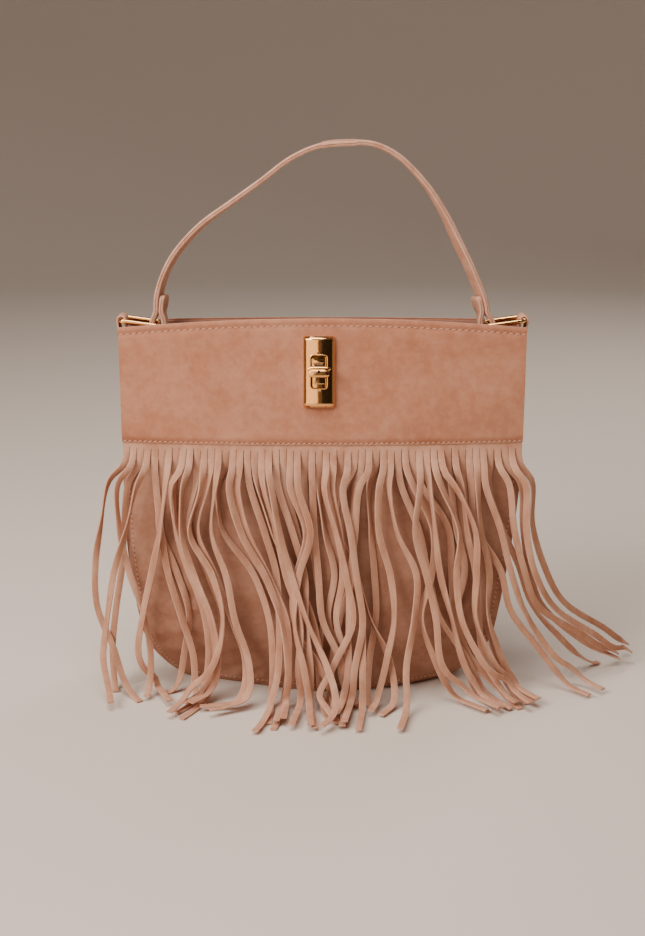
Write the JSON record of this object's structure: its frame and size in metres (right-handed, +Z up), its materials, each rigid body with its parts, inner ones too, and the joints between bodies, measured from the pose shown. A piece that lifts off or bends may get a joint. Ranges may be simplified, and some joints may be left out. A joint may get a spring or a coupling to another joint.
{
  "type": "fringed suede bag",
  "caption": "Suede shoulder bag with a tall upper band, long hanging fringe, brass turn lock, and a strap handle held by two side rings.",
  "frame": {"origin": "middle of the flat base, on the surface the bag stands on", "axes": "+Z up, -Y out of the front with the lock and the fringe, +X to the right seen from the front"},
  "size_m": [0.3809, 0.1431, 0.372],
  "materials": {
    "suede_band": "napped suede",
    "suede_body": "napped suede",
    "suede_inside": "napped suede",
    "suede_fringe": "napped suede, cut edges",
    "suede_handle": "napped suede",
    "lining_cloth": "plain woven cloth",
    "board": "pressed fibre board",
    "gold_metal": "polished, pale gold",
    "steel": "plain"
  },
  "bodies": {
    "bag": {"front_band": "suede_band", "back_band": "suede_band", "front_stiffener": "board", "back_stiffener": "board", "front_facing": "suede_inside", "back_facing": "suede_inside", "front_panel": "suede_body", "back_panel": "suede_body", "gusset": "suede_body", "lining": "lining_cloth", "base_board": "board", "fringe": "suede_fringe", "left_tab": "suede_handle", "right_tab": "suede_handle", "lock_plate": "gold_metal", "lock_base": "gold_metal", "lock_spring": "steel", "lock_back_plate": "steel"},
    "knob": {"lock_knob": "gold_metal", "lock_pin": "gold_metal"},
    "handle": {"handle_strap": "suede_handle"},
    "left_link": {"left_ring": "gold_metal"},
    "right_link": {"right_ring": "gold_metal"}
  },
  "joints": [
    {"name": "knob_turn", "type": "hinge", "parent": "bag", "child": "knob", "pos_m": [-0.0023, -0.02371, 0.224], "axis": [0, -0.9798, 0.1998], "range_deg": [0, 90]},
    {"name": "handle_lift", "type": "slide", "parent": "bag", "child": "handle", "axis": [0, 0, 1], "range_m": [0, 0.012]},
    {"name": "left_ring_swing", "type": "hinge", "parent": "bag", "child": "left_link", "pos_m": [-0.13412, 0, 0.2552], "axis": [0, -1, 0], "range_deg": [0, 28]},
    {"name": "right_ring_swing", "type": "hinge", "parent": "bag", "child": "right_link", "pos_m": [0.13412, 0, 0.2552], "axis": [0, 1, 0], "range_deg": [0, 28]}
  ],
  "couplings": [
    {"joint": "left_ring_swing", "follows": "handle_lift", "rad_per_m": 40.6},
    {"joint": "right_ring_swing", "follows": "handle_lift", "rad_per_m": 40.6}
  ]
}
